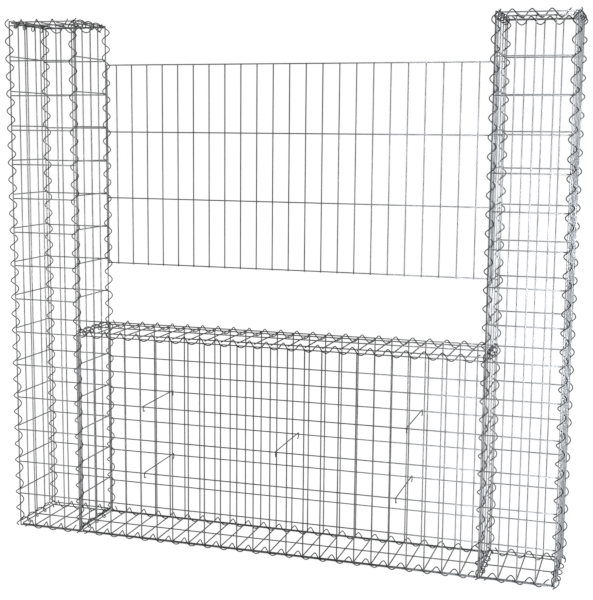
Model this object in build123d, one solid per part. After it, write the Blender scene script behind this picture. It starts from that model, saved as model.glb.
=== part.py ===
from build123d import *
import math
import os

os.makedirs("parts", exist_ok=True)

# An empty wire basket wall: two tall pillars, a low basket between them, and an open
# climbing mesh above the basket. Every edge is laced with a spiral of wire.
# Millimetres. +X runs along the wall to the right, +Y to the back, +Z up.
# The origin is on the floor, under the middle of the wall.

# ---------------------------------------------------------------- driving sizes
close_spacing = 50.0        # between the closely set wires of every panel
wide_spacing = 100.0        # between the widely set wires of the upright panels
pillar_cells_across = 4     # close cells along the front of a pillar
pillar_cells_high = 15      # wide cells up a pillar
basket_cells_across = 24    # close cells along the front of the basket
basket_cells_high = 6       # wide cells up the basket
depth_cells = 4             # close cells from front to back
lid_cells_deep = 2          # cells from front to back in the lids and bases
trellis_cells_high = 3
trellis_spacing = 200.0     # between the level wires of the climbing mesh
trellis_end_gap = 18.0      # climbing mesh's right end wire to its next upright wire
trellis_drop = 11.0         # top wire of the climbing mesh below the pillar's next level wire
trellis_top_row = 14        # the pillar's level wire beside the top of the climbing mesh

mesh_wire = 3.5             # wire of the welded panels
coil_wire = 3.0             # wire of the lacing coils and tie hooks
wire_overhang = 2.0         # wire ends past the middle of the edge wire they are welded to
trellis_overhang = 4.0      # lower ends of the climbing mesh's upright wires
weld_depth = 0.3            # how far crossing wires sink into each other
clearance = 0.3             # least gap between separate pieces of wire

# Level wires above (+) or below (-) the axes of the coils that hold them.
side_rise = 6.2
pillar_front_rise = -6.2
pillar_back_rise = 2.5
basket_front_rise = -5.8
basket_back_rise = -3.0
face_offset = 2.5           # upright wires of a wall panel outside the axis of its coils

coil_turns_per_close_cell = 1
coil_turns_per_wide_cell = 2
coil_top_overrun = 12.0     # a corner coil's free end above the axis of the top coils

tie_overshoot = 6.0         # hook past the level wire it hangs on
tie_hook_drop = 12.0        # hook below the level wire
tie_tip_return = 4.0        # hook's tip back past the level wire
tie_bend = 4.0              # bend radius on the wire's middle line
tie_places = [(-390.0, 4), (-388.0, 2), (18.0, 3), (394.0, 4), (368.0, 2)]  # x, level wire

# ---------------------------------------------------------------- sizes that follow
WIRE_SIDES = 8                                       # flats on a panel wire
COIL_SIDES = 6                                       # flats on a coil's wire
COIL_RUNS = 10                                       # straight runs in a coil's turn


def bar_reach(wire, sides):
    """Middle to corner of a bar that has the section area of round wire."""
    return wire / 2 * math.sqrt(math.tau / sides / math.sin(math.tau / sides))


wire_reach = bar_reach(mesh_wire, WIRE_SIDES)
coil_reach = bar_reach(coil_wire, COIL_SIDES)
wire_flat = 2 * wire_reach * math.cos(math.pi / WIRE_SIDES)
layer = wire_flat - weld_depth                       # between the two layers of a panel

pillar_width = pillar_cells_across * close_spacing
basket_width = basket_cells_across * close_spacing
depth = depth_cells * close_spacing
lid_spacing = depth / lid_cells_deep
pillar_height = pillar_cells_high * wide_spacing
basket_height = basket_cells_high * wide_spacing

# Neighbouring walls meet end to end at the axis of the coil that laces them. Side panels
# end behind the walls, and lids and bases lie wholly inside walls and side panels.
wall_inset = max(wire_reach, wire_overhang) + clearance / 2
level_offset = layer - face_offset                   # level wires inside the coil's axis
side_inset = level_offset + wire_reach + clearance + wire_overhang
inner_offset = layer / 2                             # each layer of a pillar's inner panel
lid_clear = max(level_offset, inner_offset) + wire_reach + clearance + wire_overhang

# The middles of the coils' runs just clear the farthest wire that they hold.
wall_rises = (pillar_front_rise, pillar_back_rise, basket_front_rise, basket_back_rise)
hold = max(
    math.hypot(max(abs(rise) for rise in wall_rises), level_offset),
    math.hypot(side_rise, max(level_offset, inner_offset)),
    math.hypot(lid_clear, face_offset),
    math.hypot(side_inset, face_offset),
)
coil_radius = hold + wire_reach + clearance + coil_reach
corner_radius = coil_radius / math.cos(math.pi / COIL_RUNS)
coil_outer = corner_radius + coil_reach
close_pitch = close_spacing / coil_turns_per_close_cell
wide_pitch = wide_spacing / coil_turns_per_wide_cell

# Both layers of a lid bear on the coils above their axes, and a base's below.
lid_rise = math.sqrt(hold**2 - side_inset**2)
base_rise = -lid_rise
lid_inset = max(lid_clear, math.sqrt(hold**2 - (lid_rise - layer) ** 2))
lid_trim = lid_inset - wall_inset                    # the lids' end cells are this much less

# Axes of the coils.
junction_x = basket_width / 2 + wall_inset
outer_x = junction_x + pillar_width + 2 * wall_inset
coil_y = depth / 2 + side_inset
floor_z = coil_outer
basket_top_z = floor_z + basket_height
pillar_top_z = floor_z + pillar_height
coil_end_gap = coil_outer + clearance                # level coils stop beside the corner coils

wall_y = coil_y + face_offset                        # upright wires of the walls
side_level = floor_z + side_rise
pillar_front_level = floor_z + pillar_front_rise
pillar_back_level = floor_z + pillar_back_rise
basket_front_level = floor_z + basket_front_rise
basket_back_level = floor_z + basket_back_rise
trellis_height = trellis_cells_high * trellis_spacing
trellis_top_z = pillar_back_level + trellis_top_row * wide_spacing - trellis_drop
trellis_low_z = trellis_top_z - trellis_height

UP, DOWN = Vector(0, 0, 1), Vector(0, 0, -1)
RIGHT, LEFT = Vector(1, 0, 0), Vector(-1, 0, 0)
BACK, FRONT = Vector(0, 1, 0), Vector(0, -1, 0)


# ---------------------------------------------------------------- welded panels
def wire_bar(length, direction, start):
    """One straight panel wire from start, as a bar with flat sides."""
    across = RIGHT if abs(direction.X) < 0.5 else BACK
    profile = Plane(origin=start, x_dir=across, z_dir=direction) * RegularPolygon(
        wire_reach, WIRE_SIDES, rotation=180 / WIRE_SIDES
    )
    return extrude(profile, amount=length, dir=direction).solid()


def spaced(cells, spacing):
    """Places of evenly spaced wires."""
    return [number * spacing for number in range(cells + 1)]


def lid_places(cells):
    """Places of a lid's close wires: in line with the wall's, but for trimmed end cells."""
    inner = [place_across - lid_trim for place_across in spaced(cells, close_spacing)[1:-1]]
    return [0.0, *inner, cells * close_spacing - 2 * lid_trim]


def trellis_places():
    """Places of the climbing mesh's upright wires, from its right end wire. Evenly spaced
    wires stand between the two end wires."""
    cells = math.floor((basket_width - trellis_end_gap - mesh_wire) / close_spacing)
    inner = [trellis_end_gap + place_across for place_across in spaced(cells, close_spacing)]
    return [0.0, *inner, basket_width]


def panel(columns, rows, low_overhang=wire_overhang):
    """Flat welded panel with close wires at columns and wide wires at rows. Local X runs
    across and Y up, from the crossing of its first wires. The close wires lie at local Z 0
    and the wide wires one layer behind."""
    close = [
        wire_bar(
            rows[-1] + low_overhang + wire_overhang,
            BACK,
            Vector(place_across, -low_overhang, 0),
        )
        for place_across in columns
    ]
    wide = [
        wire_bar(
            columns[-1] + 2 * wire_overhang,
            RIGHT,
            Vector(-wire_overhang, place_up, -layer),
        )
        for place_up in rows
    ]
    bars = close + wide
    return bars[0].fuse(*bars[1:])


def place(shape, origin, across, outward):
    """Set a local panel with its X along across and its close wires facing outward."""
    return Plane(origin=origin, x_dir=across, z_dir=outward).location * shape


def place_lid(shape, first_x, axis_z):
    """Lid with its front-to-back wires under the others."""
    corner = Vector(first_x + lid_trim, depth / 2, axis_z + lid_rise - layer)
    return place(shape, corner, RIGHT, DOWN)


def place_base(shape, first_x):
    """Base with its front-to-back wires on top of the others."""
    corner = Vector(first_x + lid_trim, -depth / 2, floor_z + base_rise + layer)
    return place(shape, corner, RIGHT, UP)


def save(name, *solids):
    """Write one named node."""
    shape = solids[0] if len(solids) == 1 else Compound(children=list(solids))
    is_curved = any(face.geom_type != GeomType.PLANE for face in shape.faces())
    export_step(shape, f"parts/{name}.step", write_pcurves=is_curved)


# ---------------------------------------------------------------- lacing coils
def meeting(heading, offset=0.0):
    """Part of a turn at which a coil meets a wire that leaves it along heading, itself a part
    of a turn. The wire passes offset from the axis, on the side that the coil turns to."""
    return heading + math.asin(offset / coil_radius) / math.tau


def clear_phase(pitch, crossings):
    """Place along the axis of the coil's zero angle, so that its turns pass as far as they
    can from the wires it crosses. Each crossing is (part of a turn, wire place)."""
    blocked = sorted((wire_place - turn * pitch) % pitch for turn, wire_place in crossings)
    gaps = [
        (following - here, here)
        for here, following in zip(blocked, blocked[1:] + [blocked[0] + pitch])
    ]
    width, start = max(gaps)
    return start + width / 2


def coil(start, axis, zero_dir, length, pitch, phase):
    """Right-handed lacing coil about the axis from start, in short straight runs. Its wire
    points to zero_dir at the place phase, measured from start."""
    frame = Plane(origin=start, x_dir=zero_dir, z_dir=axis)
    runs = math.ceil(COIL_RUNS * length / pitch)
    corners = []
    for corner in range(runs + 1):
        along = length * corner / runs
        turn = math.tau * (along - phase) / pitch
        corners.append(
            (corner_radius * math.cos(turn), corner_radius * math.sin(turn), along)
        )
    path = Polyline(*corners)
    section = Plane(origin=path @ 0, z_dir=path % 0) * RegularPolygon(coil_reach, COIL_SIDES)
    spiral = sweep(section, path=path, transition=Transition.RIGHT).solid()
    return frame.location * spiral


# Parts of a turn at which a coil's wire points each way, seen from its own frame.
TO_RIGHT, TO_BACK, TO_LEFT, TO_FRONT = 0.0, 0.25, 0.5, 0.75          # upright coils
Y_TO_RIGHT, Y_DOWN, Y_TO_LEFT, Y_UP = 0.0, 0.25, 0.5, 0.75           # coils along Y
X_TO_BACK, X_TO_FRONT = 0.0, 0.5                                     # coils along X


def level_coil_x(x_from, x_to, y, z, first_wire_x):
    """Coil along X between two corner coils. It crosses the lid or base midway between its
    front-to-back wires."""
    start = x_from + coil_end_gap
    inward = X_TO_BACK if y < 0 else X_TO_FRONT
    phase = clear_phase(close_pitch, [(inward, first_wire_x - start)])
    return coil(
        Vector(start, y, z), RIGHT, BACK, x_to - coil_end_gap - start, close_pitch, phase
    )


def level_coil_y(x, z, side_turns, lid_turns):
    """Coil along Y between two corner coils, clear of a side panel's upright wires at
    side_turns and of the long wires of lids or bases at lid_turns."""
    start = coil_end_gap - coil_y
    crossings = [(turn, -depth / 2 - start) for turn in side_turns]
    for wire_y in spaced(lid_cells_deep, lid_spacing):
        crossings += [(turn, wire_y - depth / 2 - start) for turn in lid_turns]
    phase = clear_phase(close_pitch, crossings)
    return coil(Vector(x, start, z), BACK, RIGHT, -2 * start, close_pitch, phase)


def corner_coil(x, y, crossings):
    """Upright coil at a pillar's corner. Each crossing is (part of a turn, wire height)."""
    start = coil_wire
    placed = [(turn, height - start) for turn, height in crossings]
    phase = clear_phase(wide_pitch, placed)
    length = pillar_top_z + coil_top_overrun - start
    return coil(Vector(x, y, start), UP, RIGHT, length, wide_pitch, phase)


def corner_crossings(is_outer, is_low, is_front):
    """Wires that a corner coil of a pillar crosses, and how far it stands behind its level
    coils to bear on the side panel's end wire."""
    side_offset = face_offset if is_outer else inner_offset
    shift = math.sqrt(hold**2 - side_offset**2) - side_inset
    to_pillar, to_basket = (TO_RIGHT, TO_LEFT) if is_low else (TO_LEFT, TO_RIGHT)
    to_depth = TO_BACK if is_front else TO_FRONT
    hand = 1 if is_low == is_front else -1
    wall_wire = hand * (level_offset + shift)
    lid_wire = hand * (side_inset + shift)
    lid_end = hand * lid_inset
    wall_level = pillar_front_level if is_front else pillar_back_level
    crossings = [
        (meeting(to_pillar, wall_wire), wall_level),
        (meeting(to_depth, -hand * (layer - side_offset)), side_level),
    ]
    for axis_z, rise, depth_step in (
        (pillar_top_z, lid_rise, -layer),
        (floor_z, base_rise, layer),
    ):
        crossings.append((meeting(to_pillar, lid_wire), axis_z + rise))
        crossings.append((meeting(to_depth, -lid_end), axis_z + rise + depth_step))
    if is_outer:
        return crossings, shift

    basket_level = basket_front_level if is_front else basket_back_level
    crossings.append((meeting(to_basket, -wall_wire), basket_level))
    for axis_z, rise, depth_step in (
        (basket_top_z, lid_rise, -layer),
        (floor_z, base_rise, layer),
    ):
        crossings.append((meeting(to_basket, -lid_wire), axis_z + rise))
        crossings.append((meeting(to_depth, lid_end), axis_z + rise + depth_step))
    if not is_front:
        crossings.append((meeting(to_basket, -wall_wire), trellis_low_z))
    return crossings, shift


pillar_rows = spaced(pillar_cells_high, wide_spacing)
lid_rows = spaced(lid_cells_deep, lid_spacing)
pillar_wall = panel(spaced(pillar_cells_across, close_spacing), pillar_rows)
pillar_side = panel(spaced(depth_cells, close_spacing), pillar_rows)
pillar_lid = panel(lid_places(pillar_cells_across), lid_rows)
basket_wall = panel(
    spaced(basket_cells_across, close_spacing), spaced(basket_cells_high, wide_spacing)
)
basket_lid = panel(lid_places(basket_cells_across), lid_rows)
trellis = panel(
    trellis_places(), spaced(trellis_cells_high, trellis_spacing), trellis_overhang
)


# ---------------------------------------------------------------- pillars
def build_pillar(name, low_x, high_x, low_is_outer):
    """All nodes of one pillar. low_x and high_x are the axes of its left and right coils."""
    first_x = low_x + wall_inset
    last_x = first_x + pillar_width
    save(
        f"{name}_front_mesh",
        place(pillar_wall, Vector(first_x, -wall_y, pillar_front_level), RIGHT, FRONT),
    )
    # The back panel is the front one turned round.
    save(
        f"{name}_back_mesh",
        place(pillar_wall, Vector(last_x, wall_y, pillar_back_level), LEFT, BACK),
    )
    save(f"{name}_lid_mesh", place_lid(pillar_lid, first_x, pillar_top_z))
    save(f"{name}_base_mesh", place_base(pillar_lid, first_x))

    side_coils = {pillar_top_z: [], floor_z: []}
    for x, is_low in ((low_x, True), (high_x, False)):
        is_outer = is_low == low_is_outer
        side_name = "outer" if is_outer else "inner"
        side_offset = face_offset if is_outer else inner_offset
        outward = -1 if is_low else 1
        side_start = Vector(x + outward * side_offset, -outward * depth / 2, side_level)
        save(
            f"{name}_{side_name}_mesh",
            place(pillar_side, side_start, FRONT if is_low else BACK, LEFT if is_low else RIGHT),
        )
        for end_name, y_sign in (("front", -1), ("back", 1)):
            crossings, shift = corner_crossings(is_outer, is_low, y_sign < 0)
            save(
                f"{name}_{end_name}_{side_name}_coil",
                corner_coil(x, y_sign * (coil_y + shift), crossings),
            )
        to_pillar, to_basket = (Y_TO_RIGHT, Y_TO_LEFT) if is_low else (Y_TO_LEFT, Y_TO_RIGHT)
        top_lid_turns = [meeting(to_pillar, outward * lid_rise)]
        low_lid_turns = [meeting(to_pillar, outward * base_rise)]
        if not is_outer:
            low_lid_turns.append(meeting(to_basket, -outward * base_rise))
        top_side_turns = [meeting(Y_DOWN, -outward * side_offset)]
        low_side_turns = [meeting(Y_UP, outward * side_offset)]
        side_coils[pillar_top_z].append(
            level_coil_y(x, pillar_top_z, top_side_turns, top_lid_turns)
        )
        side_coils[floor_z].append(level_coil_y(x, floor_z, low_side_turns, low_lid_turns))

    for level_name, axis_z in (("lid", pillar_top_z), ("base", floor_z)):
        save(
            f"{name}_{level_name}_coils",
            level_coil_x(low_x, high_x, -coil_y, axis_z, first_x),
            level_coil_x(low_x, high_x, coil_y, axis_z, first_x),
            *side_coils[axis_z],
        )


# ---------------------------------------------------------------- basket and trellis
def build_basket():
    """The low basket's four panels and its coils. The pillars' inner panels close its ends."""
    end_x = basket_width / 2
    save(
        "basket_front_mesh",
        place(basket_wall, Vector(-end_x, -wall_y, basket_front_level), RIGHT, FRONT),
    )
    save(
        "basket_back_mesh",
        place(basket_wall, Vector(end_x, wall_y, basket_back_level), LEFT, BACK),
    )
    save("basket_lid_mesh", place_lid(basket_lid, -end_x, basket_top_z))
    save("basket_base_mesh", place_base(basket_lid, -end_x))
    for level_name, axis_z in (("lid", basket_top_z), ("base", floor_z)):
        for side_name, y in (("front", -coil_y), ("back", coil_y)):
            save(
                f"basket_{level_name}_{side_name}_coil",
                level_coil_x(-junction_x, junction_x, y, axis_z, -end_x),
            )
    for side_name, side, to_basket in (("left", -1, Y_TO_RIGHT), ("right", 1, Y_TO_LEFT)):
        upright_turns = [
            meeting(Y_DOWN, side * inner_offset),
            meeting(Y_UP, -side * inner_offset),
        ]
        lid_turns = [meeting(to_basket, side * lid_rise)]
        save(
            f"basket_lid_{side_name}_coil",
            level_coil_y(side * junction_x, basket_top_z, upright_turns, lid_turns),
        )


def build_trellis():
    """Open climbing mesh in the plane of the back panels, held by the inner corner coils."""
    corner = Vector(basket_width / 2, wall_y, trellis_low_z)
    save("trellis_mesh", place(trellis, corner, LEFT, BACK))


def build_tie(number, x, row):
    """Wire tie that hooks over a level wire of the basket's front and back panels."""
    wire_gap = wire_reach + coil_wire / 2 + clearance
    front_y = level_offset - coil_y
    back_y = -front_y
    front_z = basket_front_level + row * wide_spacing
    back_z = basket_back_level + row * wide_spacing
    points = [
        (x, front_y + tie_tip_return, front_z - tie_hook_drop),
        (x, front_y - tie_overshoot, front_z - tie_hook_drop),
        (x, front_y - tie_overshoot, front_z + wire_gap),
        (x, back_y + tie_overshoot, back_z + wire_gap),
        (x, back_y + tie_overshoot, back_z - tie_hook_drop),
        (x, back_y - tie_tip_return, back_z - tie_hook_drop),
    ]
    path = FilletPolyline(*points, radius=tie_bend)
    ring = Plane(origin=path @ 0, z_dir=path % 0) * Circle(coil_wire / 2)
    save(f"tie_hook_{number}", sweep(ring, path=path).solid())


build_pillar("left_pillar", -outer_x, -junction_x, True)
build_pillar("right_pillar", junction_x, outer_x, False)
build_basket()
build_trellis()
for tie_number, (tie_x, tie_row) in enumerate(tie_places, start=1):
    build_tie(tie_number, tie_x, tie_row)
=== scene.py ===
"""Studio scene for an empty gabion wall of welded galvanised mesh.

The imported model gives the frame. Every welded panel is remade here from round wires with
their welds and cut ends, the lacing spirals are wound again as smooth round wire, the tie
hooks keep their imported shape, and all of them get a galvanised finish.
"""

from __future__ import annotations

import logging
import math
from dataclasses import dataclass, field
from enum import Enum

import bmesh
import bpy
from mathutils import Matrix, Vector

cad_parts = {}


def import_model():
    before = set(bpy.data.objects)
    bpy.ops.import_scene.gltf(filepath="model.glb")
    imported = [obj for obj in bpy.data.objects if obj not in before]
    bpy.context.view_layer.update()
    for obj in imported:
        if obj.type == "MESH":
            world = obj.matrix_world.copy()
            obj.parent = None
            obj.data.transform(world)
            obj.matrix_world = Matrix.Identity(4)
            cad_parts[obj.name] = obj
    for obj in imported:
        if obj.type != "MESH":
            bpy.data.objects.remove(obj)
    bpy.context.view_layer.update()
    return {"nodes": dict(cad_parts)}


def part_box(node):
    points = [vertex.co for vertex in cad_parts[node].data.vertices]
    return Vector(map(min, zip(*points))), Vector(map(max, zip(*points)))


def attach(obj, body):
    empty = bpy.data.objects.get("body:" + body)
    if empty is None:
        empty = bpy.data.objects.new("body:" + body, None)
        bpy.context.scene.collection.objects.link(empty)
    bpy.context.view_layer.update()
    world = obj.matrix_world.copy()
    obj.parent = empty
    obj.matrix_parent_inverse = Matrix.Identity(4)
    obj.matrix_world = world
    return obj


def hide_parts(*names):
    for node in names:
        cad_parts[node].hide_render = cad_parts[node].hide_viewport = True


LOG = logging.getLogger("gabion_wall")
MM = 0.001
WHITE = (1.0, 1.0, 1.0)
WIRE_OVERHANG = 2.0 * MM
SHARP_ANGLE = math.radians(50.0)

Colour = tuple[float, float, float]
Place = tuple[float, float, float]


class Direction(Enum):
    """An axis of the wall: along it, from front to back, or up."""

    ALONG = 0
    DEPTH = 1
    UP = 2


class Side(Enum):
    """Which side of a panel its close wires lie on."""

    LOW = -1
    HIGH = 1


# ---------------------------------------------------------------- finishes
class EffectGroups:
    """Shader node groups that more than one finish uses, each built once."""

    patch_detail: float = 3.0
    patch_roughness: float = 0.6
    patch_edges: tuple[float, float] = (0.36, 0.66)
    grain_share: float = 0.3
    run_detail: float = 2.0
    pit_detail: float = 1.0
    pit_share: float = 0.25

    def __init__(self) -> None:
        """Build the groups."""
        self.bloom = self._zinc_bloom()
        self.drawn = self._drawn_wire()

    @staticmethod
    def _group(
        name: str, inputs: dict[str, float | tuple[float, ...]], outputs: dict[str, str]
    ) -> tuple[bpy.types.ShaderNodeTree, bpy.types.Node, bpy.types.Node]:
        """Start a group with named sockets.

        Args:
            name: Name of the group.
            inputs: Default value of each input, a number or a colour.
            outputs: Socket type of each output.

        Returns:
            The group and its input and output nodes.
        """
        tree = bpy.data.node_groups.new(name, "ShaderNodeTree")
        for label, default in inputs.items():
            kind = "NodeSocketFloat" if isinstance(default, float) else "NodeSocketColor"
            socket = tree.interface.new_socket(label, in_out="INPUT", socket_type=kind)
            socket.default_value = default
        for label, kind in outputs.items():
            tree.interface.new_socket(label, in_out="OUTPUT", socket_type=kind)
        return tree, tree.nodes.new("NodeGroupInput"), tree.nodes.new("NodeGroupOutput")

    def _zinc_bloom(self) -> bpy.types.ShaderNodeTree:
        """Cloudy zinc: bright metal with duller patches and a fine crystal grain.

        Returns:
            The group. Its inputs are the two tones, and the sizes of patches and crystals.
        """
        tree, given, made = self._group(
            "zinc_bloom",
            {
                "Bright": (0.6, 0.6, 0.6, 1.0),
                "Dull": (0.4, 0.4, 0.4, 1.0),
                "Patch Scale": 9.0,
                "Crystal Scale": 420.0,
            },
            {"Color": "NodeSocketColor", "Patches": "NodeSocketFloat"},
        )
        nodes, links = tree.nodes, tree.links
        place = nodes.new("ShaderNodeTexCoord")
        patches = nodes.new("ShaderNodeTexNoise")
        patches.inputs["Detail"].default_value = self.patch_detail
        patches.inputs["Roughness"].default_value = self.patch_roughness
        links.new(place.outputs["Object"], patches.inputs["Vector"])
        links.new(given.outputs["Patch Scale"], patches.inputs["Scale"])
        crystals = nodes.new("ShaderNodeTexVoronoi")
        links.new(place.outputs["Object"], crystals.inputs["Vector"])
        links.new(given.outputs["Crystal Scale"], crystals.inputs["Scale"])
        spread = nodes.new("ShaderNodeMapRange")
        spread.inputs["From Min"].default_value = self.patch_edges[0]
        spread.inputs["From Max"].default_value = self.patch_edges[1]
        links.new(patches.outputs["Fac"], spread.inputs["Value"])
        grain = nodes.new("ShaderNodeSeparateColor")
        links.new(crystals.outputs["Color"], grain.inputs["Color"])
        share = nodes.new("ShaderNodeMath")
        share.operation = "MULTIPLY_ADD"
        share.inputs[1].default_value = self.grain_share
        links.new(grain.outputs["Red"], share.inputs[0])
        links.new(spread.outputs["Result"], share.inputs[2])
        lower = nodes.new("ShaderNodeMath")
        lower.operation = "SUBTRACT"
        lower.use_clamp = True
        lower.inputs[1].default_value = self.grain_share / 2
        links.new(share.outputs["Value"], lower.inputs[0])
        tone = nodes.new("ShaderNodeMix")
        tone.data_type = "RGBA"
        links.new(lower.outputs["Value"], tone.inputs["Factor"])
        links.new(given.outputs["Bright"], tone.inputs["A"])
        links.new(given.outputs["Dull"], tone.inputs["B"])
        links.new(tone.outputs["Result"], made.inputs["Color"])
        links.new(lower.outputs["Value"], made.inputs["Patches"])
        return tree

    def _drawn_wire(self) -> bpy.types.ShaderNodeTree:
        """Small dents and runs in the coating, as a height.

        Returns:
            The group. Its inputs are the sizes of the runs and of the pitting.
        """
        tree, given, made = self._group(
            "drawn_wire",
            {"Run Scale": 160.0, "Pit Scale": 900.0},
            {"Height": "NodeSocketFloat"},
        )
        nodes, links = tree.nodes, tree.links
        place = nodes.new("ShaderNodeTexCoord")
        runs = nodes.new("ShaderNodeTexNoise")
        runs.inputs["Detail"].default_value = self.run_detail
        links.new(place.outputs["Object"], runs.inputs["Vector"])
        links.new(given.outputs["Run Scale"], runs.inputs["Scale"])
        pits = nodes.new("ShaderNodeTexNoise")
        pits.inputs["Detail"].default_value = self.pit_detail
        links.new(place.outputs["Object"], pits.inputs["Vector"])
        links.new(given.outputs["Pit Scale"], pits.inputs["Scale"])
        both = nodes.new("ShaderNodeMath")
        both.operation = "MULTIPLY_ADD"
        both.inputs[1].default_value = self.pit_share
        links.new(pits.outputs["Fac"], both.inputs[0])
        links.new(runs.outputs["Fac"], both.inputs[2])
        links.new(both.outputs["Value"], made.inputs["Height"])
        return tree


@dataclass(frozen=True)
class ZincFinish:
    """Galvanised steel of one kind of wire."""

    name: str
    bright: Colour
    dull: Colour
    shine: float
    dullness: float
    metal: float = 0.85
    patch_scale: float = 9.0
    crystal_scale: float = 420.0
    relief: float = 0.25 * MM
    relief_strength: float = 0.6

    def material(self, groups: EffectGroups) -> bpy.types.Material:
        """Build the material.

        Args:
            groups: The shared effects.

        Returns:
            The material, with a Principled shader.
        """
        material = bpy.data.materials.new(self.name)
        material.use_nodes = True
        material.diffuse_color = (*self.bright, 1.0)
        nodes, links = material.node_tree.nodes, material.node_tree.links
        shader = nodes["Principled BSDF"]
        shader.inputs["Metallic"].default_value = self.metal
        bloom = nodes.new("ShaderNodeGroup")
        bloom.node_tree = groups.bloom
        bloom.inputs["Bright"].default_value = (*self.bright, 1.0)
        bloom.inputs["Dull"].default_value = (*self.dull, 1.0)
        bloom.inputs["Patch Scale"].default_value = self.patch_scale
        bloom.inputs["Crystal Scale"].default_value = self.crystal_scale
        links.new(bloom.outputs["Color"], shader.inputs["Base Color"])
        rough = nodes.new("ShaderNodeMapRange")
        rough.inputs["To Min"].default_value = self.shine
        rough.inputs["To Max"].default_value = self.dullness
        links.new(bloom.outputs["Patches"], rough.inputs["Value"])
        links.new(rough.outputs["Result"], shader.inputs["Roughness"])
        coating = nodes.new("ShaderNodeGroup")
        coating.node_tree = groups.drawn
        bump = nodes.new("ShaderNodeBump")
        bump.inputs["Strength"].default_value = self.relief_strength
        bump.inputs["Distance"].default_value = self.relief
        links.new(coating.outputs["Height"], bump.inputs["Height"])
        links.new(bump.outputs["Normal"], shader.inputs["Normal"])
        return material


@dataclass(frozen=True)
class FloorFinish:
    """Plain studio floor that glows a little, so that it shows as white as the backdrop."""

    name: str = "studio_floor"
    tone: float = 0.12
    roughness: float = 0.9
    glow: float = 0.95

    def material(self) -> bpy.types.Material:
        """Build the floor's material.

        Returns:
            A matt grey with a white glow, which takes only the faintest shadows.
        """
        material = bpy.data.materials.new(self.name)
        material.use_nodes = True
        shader = material.node_tree.nodes["Principled BSDF"]
        shader.inputs["Base Color"].default_value = (self.tone, self.tone, self.tone, 1.0)
        shader.inputs["Roughness"].default_value = self.roughness
        shader.inputs["Specular IOR Level"].default_value = 0.0
        shader.inputs["Emission Color"].default_value = (*WHITE, 1.0)
        shader.inputs["Emission Strength"].default_value = self.glow
        return material


class Finishes:
    """Every finish of the wall, built once."""

    def __init__(self) -> None:
        """Build the shared effects and the materials."""
        groups = EffectGroups()
        self.mesh_wire = ZincFinish(
            "galvanised_mesh_wire",
            bright=(0.20, 0.204, 0.210),
            dull=(0.13, 0.133, 0.138),
            shine=0.6,
            dullness=0.8,
        ).material(groups)
        self.cut_end = ZincFinish(
            "sheared_wire_end",
            bright=(0.20, 0.20, 0.205),
            dull=(0.10, 0.10, 0.10),
            shine=0.45,
            dullness=0.7,
            metal=0.7,
        ).material(groups)
        self.lacing_wire = ZincFinish(
            "galvanised_lacing_wire",
            bright=(0.035, 0.036, 0.038),
            dull=(0.016, 0.017, 0.018),
            shine=0.38,
            dullness=0.55,
        ).material(groups)
        self.tie_wire = ZincFinish(
            "galvanised_tie_wire",
            bright=(0.05, 0.051, 0.053),
            dull=(0.025, 0.026, 0.028),
            shine=0.38,
            dullness=0.55,
        ).material(groups)


# ---------------------------------------------------------------- wire and panels
@dataclass
class WireStock:
    """Round wire of one gauge, laid into a bmesh in straight lengths."""

    radius: float = 1.75 * MM
    sides: int = 10
    chamfer: float = 0.45 * MM

    def lay(self, bm: bmesh.types.BMesh, start: Vector, end: Vector) -> None:
        """Lay one straight wire with sheared, slightly rounded ends.

        Args:
            bm: The mesh to add it to.
            start: Middle of one end.
            end: Middle of the other end.
        """
        run = end - start
        turn = run.to_track_quat("Z", "Y").to_matrix().to_4x4()
        made = bmesh.ops.create_cone(
            bm,
            cap_ends=True,
            cap_tris=False,
            segments=self.sides,
            radius1=self.radius,
            radius2=self.radius,
            depth=run.length,
            matrix=Matrix.Translation((start + end) / 2) @ turn,
        )
        caps = {
            face for vert in made["verts"] for face in vert.link_faces
            if len(face.verts) == self.sides
        }
        for cap in caps:
            cap.material_index = 1
        rims = list({edge for cap in caps for edge in cap.edges})
        bmesh.ops.bevel(
            bm,
            geom=rims,
            offset=self.chamfer,
            affect="EDGES",
            segments=1,
            profile=0.5,
            material=-1,
        )


@dataclass
class SpotWeld:
    """The squeezed lump of zinc and steel where two wires are welded."""

    reach: float = 1.75 * MM
    squash: float = 0.62
    meridians: int = 8
    rings: int = 5

    def drop(self, bm: bmesh.types.BMesh, middle: Vector, normal: Direction) -> None:
        """Add one weld.

        Args:
            bm: The mesh to add it to.
            middle: Middle of the crossing.
            normal: The panel's normal.
        """
        size = Vector((self.reach, self.reach, self.reach))
        size[normal.value] *= self.squash
        bmesh.ops.create_uvsphere(
            bm,
            u_segments=self.meridians,
            v_segments=self.rings,
            radius=1.0,
            matrix=Matrix.Translation(middle) @ Matrix.Diagonal((*size, 1.0)),
        )


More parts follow.
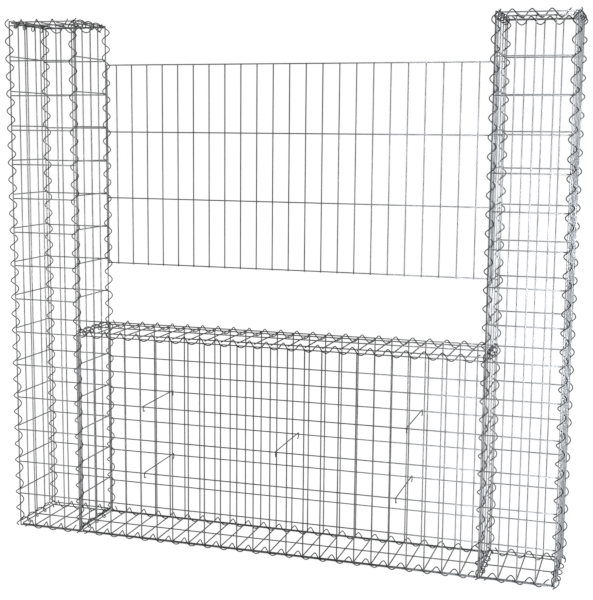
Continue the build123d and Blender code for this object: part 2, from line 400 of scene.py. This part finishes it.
@dataclass
class WeldedPanel:
    """One flat welded panel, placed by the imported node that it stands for."""

    node: str
    close_along: Direction
    wide_along: Direction
    close_side: Side
    columns: list[float]
    rows: list[float]
    overhang: float = WIRE_OVERHANG
    low_overhang: float = WIRE_OVERHANG
    stock: WireStock = field(default_factory=WireStock)
    weld: SpotWeld = field(default_factory=SpotWeld)

    @property
    def normal(self) -> Direction:
        """The direction through the panel."""
        return next(d for d in Direction if d not in (self.close_along, self.wide_along))

    def build(self, finishes: Finishes) -> bpy.types.Object:
        """Lay every wire and weld, and stand the piece in for its node.

        Args:
            finishes: The wall's finishes.

        Returns:
            The finished piece.
        """
        low, high = (Vector(corner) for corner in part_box(self.node))
        up, across, out = self.close_along.value, self.wide_along.value, self.normal.value
        close_depth, wide_depth = low[out] + self.stock.radius, high[out] - self.stock.radius
        if self.close_side is Side.HIGH:
            close_depth, wide_depth = wide_depth, close_depth
        first_column = low[across] + self.overhang
        first_row = low[up] + self.low_overhang
        bm = bmesh.new()
        for column in self.columns:
            start, end = Vector(low), Vector(high)
            start[across] = end[across] = first_column + column
            start[out] = end[out] = close_depth
            self.stock.lay(bm, start, end)
        for row in self.rows:
            start, end = Vector(low), Vector(high)
            start[up] = end[up] = first_row + row
            start[out] = end[out] = wide_depth
            self.stock.lay(bm, start, end)
            for column in self.columns:
                crossing = Vector(start)
                crossing[across] = first_column + column
                crossing[out] = (close_depth + wide_depth) / 2
                self.weld.drop(bm, crossing, self.normal)
        return wire_piece(
            self.node.replace("_mesh", "_wires"),
            bm,
            [finishes.mesh_wire, finishes.cut_end],
            self.node,
        )


def wire_piece(
    name: str,
    bm: bmesh.types.BMesh,
    materials: list[bpy.types.Material],
    node: str,
) -> bpy.types.Object:
    """Make a piece of a bmesh and stand it in for a node.

    Args:
        name: Name of the piece.
        bm: Its mesh, which is freed.
        materials: Its materials.
        node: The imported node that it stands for.

    Returns:
        The piece, riding on the wall.
    """
    mesh = bpy.data.meshes.new(name)
    bm.to_mesh(mesh)
    bm.free()
    for material in materials:
        mesh.materials.append(material)
    mesh.shade_smooth()
    mesh.set_sharp_from_angle(angle=SHARP_ANGLE)
    piece = bpy.data.objects.new(name, mesh)
    bpy.context.scene.collection.objects.link(piece)
    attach(piece, "root")
    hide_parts(node)
    LOG.info("%s: %d wire and weld faces", name, len(mesh.polygons))
    return piece


@dataclass
class MeshGrid:
    """The wall's mesh: its wire spacings, and the places of the wires of each panel."""

    close: float = 50.0 * MM
    wide: float = 100.0 * MM
    trellis_wide: float = 200.0 * MM
    trellis_gap: float = 32.0 * MM
    trellis_low_ends: float = 4.0 * MM
    lid_cells_deep: int = 2

    @staticmethod
    def even(cells: int, spacing: float) -> list[float]:
        """Places of evenly spaced wires.

        Args:
            cells: Number of cells.
            spacing: Between the wires.

        Returns:
            The places, from the first wire.
        """
        return [cell * spacing for cell in range(cells + 1)]

    def lid_columns(self, node: str, cells: int) -> list[float]:
        """Places of the close wires of a lid or base, whose end cells are a little narrow.

        Args:
            node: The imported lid.
            cells: Cells along it.

        Returns:
            The places, from the first wire.
        """
        low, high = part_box(node)
        width = high[0] - low[0] - 2 * WIRE_OVERHANG
        trim = (cells * self.close - width) / 2
        return [0.0, *[cell * self.close - trim for cell in range(1, cells)], width]

    def trellis_columns(self, width: float) -> list[float]:
        """Places of the climbing mesh's upright wires.

        Args:
            width: Between its end wires.

        Returns:
            The places, from the left end wire.
        """
        count = int((width - self.trellis_gap) / self.close)
        return [0.0, *[self.trellis_gap + cell * self.close for cell in range(count + 1)], width]


@dataclass
class PillarCage:
    """One tall square basket of the wall."""

    name: str
    outer_side: Side
    grid: MeshGrid
    cells_across: int = 4
    cells_high: int = 15
    depth_cells: int = 4

    def panels(self) -> list[WeldedPanel]:
        """The pillar's six welded panels.

        Returns:
            Front, back, outer and inner walls, the lid and the base.
        """
        across = self.grid.even(self.cells_across, self.grid.close)
        depth = self.grid.even(self.depth_cells, self.grid.close)
        rows = self.grid.even(self.cells_high, self.grid.wide)
        inner_side = Side.HIGH if self.outer_side is Side.LOW else Side.LOW
        up, along, deep = Direction.UP, Direction.ALONG, Direction.DEPTH
        made = [
            WeldedPanel(f"{self.name}_front_mesh", up, along, Side.LOW, across, rows),
            WeldedPanel(f"{self.name}_back_mesh", up, along, Side.HIGH, across, rows),
            WeldedPanel(f"{self.name}_outer_mesh", up, deep, self.outer_side, depth, rows),
            WeldedPanel(f"{self.name}_inner_mesh", up, deep, inner_side, depth, rows),
        ]
        return made + flat_panels(self.name, self.grid, self.cells_across)


def flat_panels(name: str, grid: MeshGrid, cells_across: int) -> list[WeldedPanel]:
    """The lid and base of a pillar or of the basket.

    Args:
        name: The cage's name.
        grid: The wall's mesh.
        cells_across: Close cells along the wall.

    Returns:
        The lid, with its long wires on top, and the base, with them below.
    """
    rows = grid.even(grid.lid_cells_deep, grid.wide)
    made = []
    for level, side in (("lid", Side.LOW), ("base", Side.HIGH)):
        node = f"{name}_{level}_mesh"
        columns = grid.lid_columns(node, cells_across)
        made.append(WeldedPanel(node, Direction.DEPTH, Direction.ALONG, side, columns, rows))
    return made


@dataclass
class BasketCage:
    """The long low basket between the pillars."""

    grid: MeshGrid
    name: str = "basket"
    cells_across: int = 24
    cells_high: int = 6

    def panels(self) -> list[WeldedPanel]:
        """The basket's four welded panels.

        Returns:
            Front and back walls, the lid and the base.
        """
        across = self.grid.even(self.cells_across, self.grid.close)
        rows = self.grid.even(self.cells_high, self.grid.wide)
        up, along = Direction.UP, Direction.ALONG
        made = [
            WeldedPanel(f"{self.name}_front_mesh", up, along, Side.LOW, across, rows),
            WeldedPanel(f"{self.name}_back_mesh", up, along, Side.HIGH, across, rows),
        ]
        return made + flat_panels(self.name, self.grid, self.cells_across)


@dataclass
class ClimbingMesh:
    """The open mesh above the basket, in the plane of the back walls."""

    grid: MeshGrid
    node: str = "trellis_mesh"
    width: float = 1200.0 * MM
    cells_high: int = 3

    def panels(self) -> list[WeldedPanel]:
        """The climbing mesh's one panel.

        Returns:
            It, in a list.
        """
        return [
            WeldedPanel(
                self.node,
                Direction.UP,
                Direction.ALONG,
                Side.HIGH,
                self.grid.trellis_columns(self.width),
                self.grid.even(self.cells_high, self.grid.trellis_wide),
                low_overhang=self.grid.trellis_low_ends,
            )
        ]


# ---------------------------------------------------------------- lacing spirals
@dataclass
class SpiralStock:
    """Round lacing wire and how finely its turns are made."""

    radius: float = 1.5 * MM
    sides: int = 8
    steps: int = 24
    slack: float = 0.1 * MM


@dataclass
class SpiralAxis:
    """Where one packed spiral runs: the line it winds about, measured on its node."""

    along: Direction
    middle: Vector
    reach: float
    pitch: float
    allowance: float = 1.02

    @property
    def sideways(self) -> tuple[int, int]:
        """The two other axes, in the order that makes a right-handed turn."""
        return (self.along.value + 1) % 3, (self.along.value + 2) % 3

    def holds(self, point: Vector, span: tuple[float, float]) -> bool:
        """Tell whether a packed corner belongs to this spiral.

        Args:
            point: The corner.
            span: Lowest and highest place along the axis to look at.

        Returns:
            True if it lies within the spiral's reach.
        """
        first, second = self.sideways
        off = math.hypot(point[first] - self.middle[first], point[second] - self.middle[second])
        return off < self.reach * self.allowance and span[0] < point[self.along.value] < span[1]

    def first_turn(self, points: list[Vector]) -> float:
        """Angle of the spiral's wire at place zero along the axis.

        Args:
            points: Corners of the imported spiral.

        Returns:
            The mean angle, unwound by each corner's place.
        """
        first, second = self.sideways
        across = up = 0.0
        for point in points:
            angle = math.atan2(
                point[second] - self.middle[second], point[first] - self.middle[first]
            )
            angle -= math.tau * point[self.along.value] / self.pitch
            across += math.cos(angle)
            up += math.sin(angle)
        return math.atan2(up, across)


@dataclass
class LacingNode:
    """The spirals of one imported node, wound again as smooth round wire."""

    node: str
    pitch: float = 50.0 * MM
    end_margin: float = 1.0 * MM
    stock: SpiralStock = field(default_factory=SpiralStock)

    def axes(self) -> list[tuple[SpiralAxis, tuple[float, float]]]:
        """Find the node's spirals.

        Returns:
            Each spiral's axis and the span along it to look at.
        """
        low, high = (Vector(corner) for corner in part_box(self.node))
        size, middle = high - low, (low + high) / 2
        reach = min(size) / 2
        if self.node.endswith("_coil"):
            along = Direction(max(range(3), key=lambda axis: size[axis]))
            span = (low[along.value] - self.end_margin, high[along.value] + self.end_margin)
            return [(SpiralAxis(along, middle, reach, self.pitch), span)]
        found = []
        for along, side in (
            (Direction.ALONG, Direction.DEPTH),
            (Direction.DEPTH, Direction.ALONG),
        ):
            span = (low[along.value] + 2 * reach, high[along.value] - 2 * reach)
            for place in (low[side.value] + reach, high[side.value] - reach):
                line = Vector(middle)
                line[side.value] = place
                found.append((SpiralAxis(along, line, reach, self.pitch), span))
        return found

    def wind(self, bm: bmesh.types.BMesh, axis: SpiralAxis, points: list[Vector]) -> None:
        """Wind one spiral into a mesh.

        Args:
            bm: The mesh to add it to.
            axis: Where it runs.
            points: Its packed corners.
        """
        run = axis.along.value
        places = [point[run] for point in points]
        start = min(places) + self.stock.radius
        length = max(places) - self.stock.radius - start
        turns = length / axis.pitch
        radius = axis.reach - self.stock.radius - self.stock.slack
        angle = axis.first_turn(points) + math.tau * start / axis.pitch
        first, second = axis.sideways
        heading, out, tangent = Vector(), Vector(), Vector()
        heading[run] = 1.0
        out[first], out[second] = math.cos(angle), math.sin(angle)
        tangent[first], tangent[second] = -math.sin(angle), math.cos(angle)
        tangent = (tangent * math.tau * radius + heading * axis.pitch).normalized()
        middle = Vector(axis.middle)
        middle[run] = start
        turn = Matrix((out, tangent.cross(out), tangent)).transposed().to_4x4()
        ring = bmesh.ops.create_circle(
            bm,
            segments=self.stock.sides,
            radius=self.stock.radius,
            matrix=Matrix.Translation(middle + out * radius) @ turn,
        )
        steps = math.ceil(turns * self.stock.steps)
        bmesh.ops.spin(
            bm,
            geom=ring["verts"] + list({edge for vert in ring["verts"] for edge in vert.link_edges}),
            cent=middle,
            axis=heading,
            dvec=heading * (length / steps),
            angle=math.tau * turns,
            steps=steps,
            use_duplicate=False,
        )

    def build(self, packed: bpy.types.Object, finishes: Finishes) -> bpy.types.Object:
        """Wind every spiral of the node and stand the piece in for it.

        Args:
            packed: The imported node.
            finishes: The wall's finishes.

        Returns:
            The finished piece.
        """
        corners = [packed.matrix_world @ vert.co for vert in packed.data.vertices]
        bm = bmesh.new()
        for axis, span in self.axes():
            self.wind(bm, axis, [corner for corner in corners if axis.holds(corner, span)])
        open_edges = [edge for edge in bm.edges if edge.is_boundary]
        caps = bmesh.ops.holes_fill(bm, edges=open_edges, sides=self.stock.sides)["faces"]
        for cap in caps:
            cap.material_index = 1
        bmesh.ops.recalc_face_normals(bm, faces=bm.faces)
        return wire_piece(
            self.node.replace("_coil", "_spiral"),
            bm,
            [finishes.lacing_wire, finishes.cut_end],
            self.node,
        )


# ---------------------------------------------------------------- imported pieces
@dataclass
class PackedWire:
    """Packed hooks that keep their shape and get a finish."""

    word: str
    material: bpy.types.Material

    def dress(self, nodes: dict[str, bpy.types.Object]) -> None:
        """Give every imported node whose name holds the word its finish.

        Args:
            nodes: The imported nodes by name.
        """
        for name, node in nodes.items():
            if self.word not in name:
                continue
            node.data.materials.clear()
            node.data.materials.append(self.material)
            LOG.info("%s: %s", name, self.material.name)


# ---------------------------------------------------------------- studio
@dataclass(frozen=True)
class SoftBox:
    """One soft box, and how widely its grid lets the light fan out."""

    name: str
    place: Place
    aim: Place
    size: tuple[float, float]
    power: float
    spread: float = math.pi
    tint: Colour = WHITE

    def hang(self) -> None:
        """Hang the soft box in its place, turned to its aim."""
        data = bpy.data.lights.new(self.name, "AREA")
        data.shape = "RECTANGLE"
        data.size, data.size_y = self.size
        data.energy = self.power
        data.color = self.tint
        data.spread = self.spread
        lamp = bpy.data.objects.new(self.name, data)
        lamp.location = self.place
        aim = Vector(self.aim) - lamp.location
        lamp.rotation_euler = aim.to_track_quat("-Z", "Y").to_euler()
        bpy.context.scene.collection.objects.link(lamp)


@dataclass
class Studio:
    """White floor, soft light and the camera."""

    floor_size: float = 60.0
    floor_cells: int = 4
    surround: float = 0.52
    backdrop: float = 1.0
    camera_place: Place = (1.0461, -3.2498, 1.2043)
    camera_turn: float = 0.2997
    camera_tilt: float = -0.1382
    camera_roll: float = 0.0090
    focal: float = 72.70
    sensor: float = 36.0
    sight: float = 200.0

    def build(self) -> None:
        """Set up the floor, the lights, the world and the camera."""
        self._floor()
        self._world()
        self._lights()
        self._camera()

    def _floor(self) -> None:
        """Lay the floor."""
        bm = bmesh.new()
        bmesh.ops.create_grid(
            bm,
            x_segments=self.floor_cells,
            y_segments=self.floor_cells,
            size=self.floor_size / 2,
        )
        mesh = bpy.data.meshes.new("studio_floor")
        bm.to_mesh(mesh)
        bm.free()
        mesh.materials.append(FloorFinish().material())
        floor = bpy.data.objects.new("studio_floor", mesh)
        bpy.context.scene.collection.objects.link(floor)

    def _world(self) -> None:
        """White all round for the camera, and a softer grey for light."""
        world = bpy.data.worlds.new("studio")
        bpy.context.scene.world = world
        world.use_nodes = True
        nodes, links = world.node_tree.nodes, world.node_tree.links
        soft = nodes["Background"]
        soft.inputs["Color"].default_value = (*WHITE, 1.0)
        soft.inputs["Strength"].default_value = self.surround
        white = nodes.new("ShaderNodeBackground")
        white.inputs["Color"].default_value = (*WHITE, 1.0)
        white.inputs["Strength"].default_value = self.backdrop
        path = nodes.new("ShaderNodeLightPath")
        pick = nodes.new("ShaderNodeMixShader")
        links.new(path.outputs["Is Camera Ray"], pick.inputs["Fac"])
        links.new(soft.outputs["Background"], pick.inputs[1])
        links.new(white.outputs["Background"], pick.inputs[2])
        links.new(pick.outputs["Shader"], nodes["World Output"].inputs["Surface"])

    def _lights(self) -> None:
        """Hang a tall gridded soft box for each pillar, and one soft box overhead."""
        for box in (
            SoftBox(
                "left_softbox",
                place=(1.7, -3.4, 0.9),
                aim=(-0.71, 0.0, 0.75),
                size=(0.3, 1.5),
                power=3.5,
                spread=0.12,
            ),
            SoftBox(
                "right_softbox",
                place=(2.2, -1.7, 0.88),
                aim=(0.74, 0.0, 0.77),
                size=(0.5, 1.6),
                power=13.5,
                spread=0.22,
                tint=(0.94, 0.965, 1.0),
            ),
            SoftBox(
                "top_softbox",
                place=(0.0, 0.4, 4.2),
                aim=(0.0, 0.0, 0.7),
                size=(3.0, 3.0),
                power=10.0,
            ),
        ):
            box.hang()

    def _camera(self) -> None:
        """Stand the camera in front of the wall, right of its middle, looking left and down."""
        data = bpy.data.cameras.new("studio_camera")
        data.sensor_fit = "HORIZONTAL"
        data.sensor_width = self.sensor
        data.lens = self.focal
        data.clip_end = self.sight
        camera = bpy.data.objects.new("studio_camera", data)
        turn = Matrix.Rotation(self.camera_turn, 4, "Z")
        tilt = Matrix.Rotation(math.pi / 2 + self.camera_tilt, 4, "X")
        roll = Matrix.Rotation(self.camera_roll, 4, "Z")
        camera.matrix_world = Matrix.Translation(self.camera_place) @ turn @ tilt @ roll
        bpy.context.scene.collection.objects.link(camera)
        bpy.context.scene.camera = camera
        bpy.context.scene.view_settings.view_transform = "Standard"


def main() -> None:
    """Build the scene."""
    logging.basicConfig(level=logging.INFO, format="%(message)s")
    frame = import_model()
    Studio().build()
    finishes = Finishes()
    grid = MeshGrid()
    cages = (
        PillarCage("left_pillar", Side.LOW, grid),
        PillarCage("right_pillar", Side.HIGH, grid),
        BasketCage(grid),
        ClimbingMesh(grid),
    )
    for cage in cages:
        for panel in cage.panels():
            panel.build(finishes)
    for name, node in frame["nodes"].items():
        if "_coil" in name:
            LacingNode(name).build(node, finishes)
    PackedWire("tie_hook", finishes.tie_wire).dress(frame["nodes"])


if __name__ == "__main__":
    main()
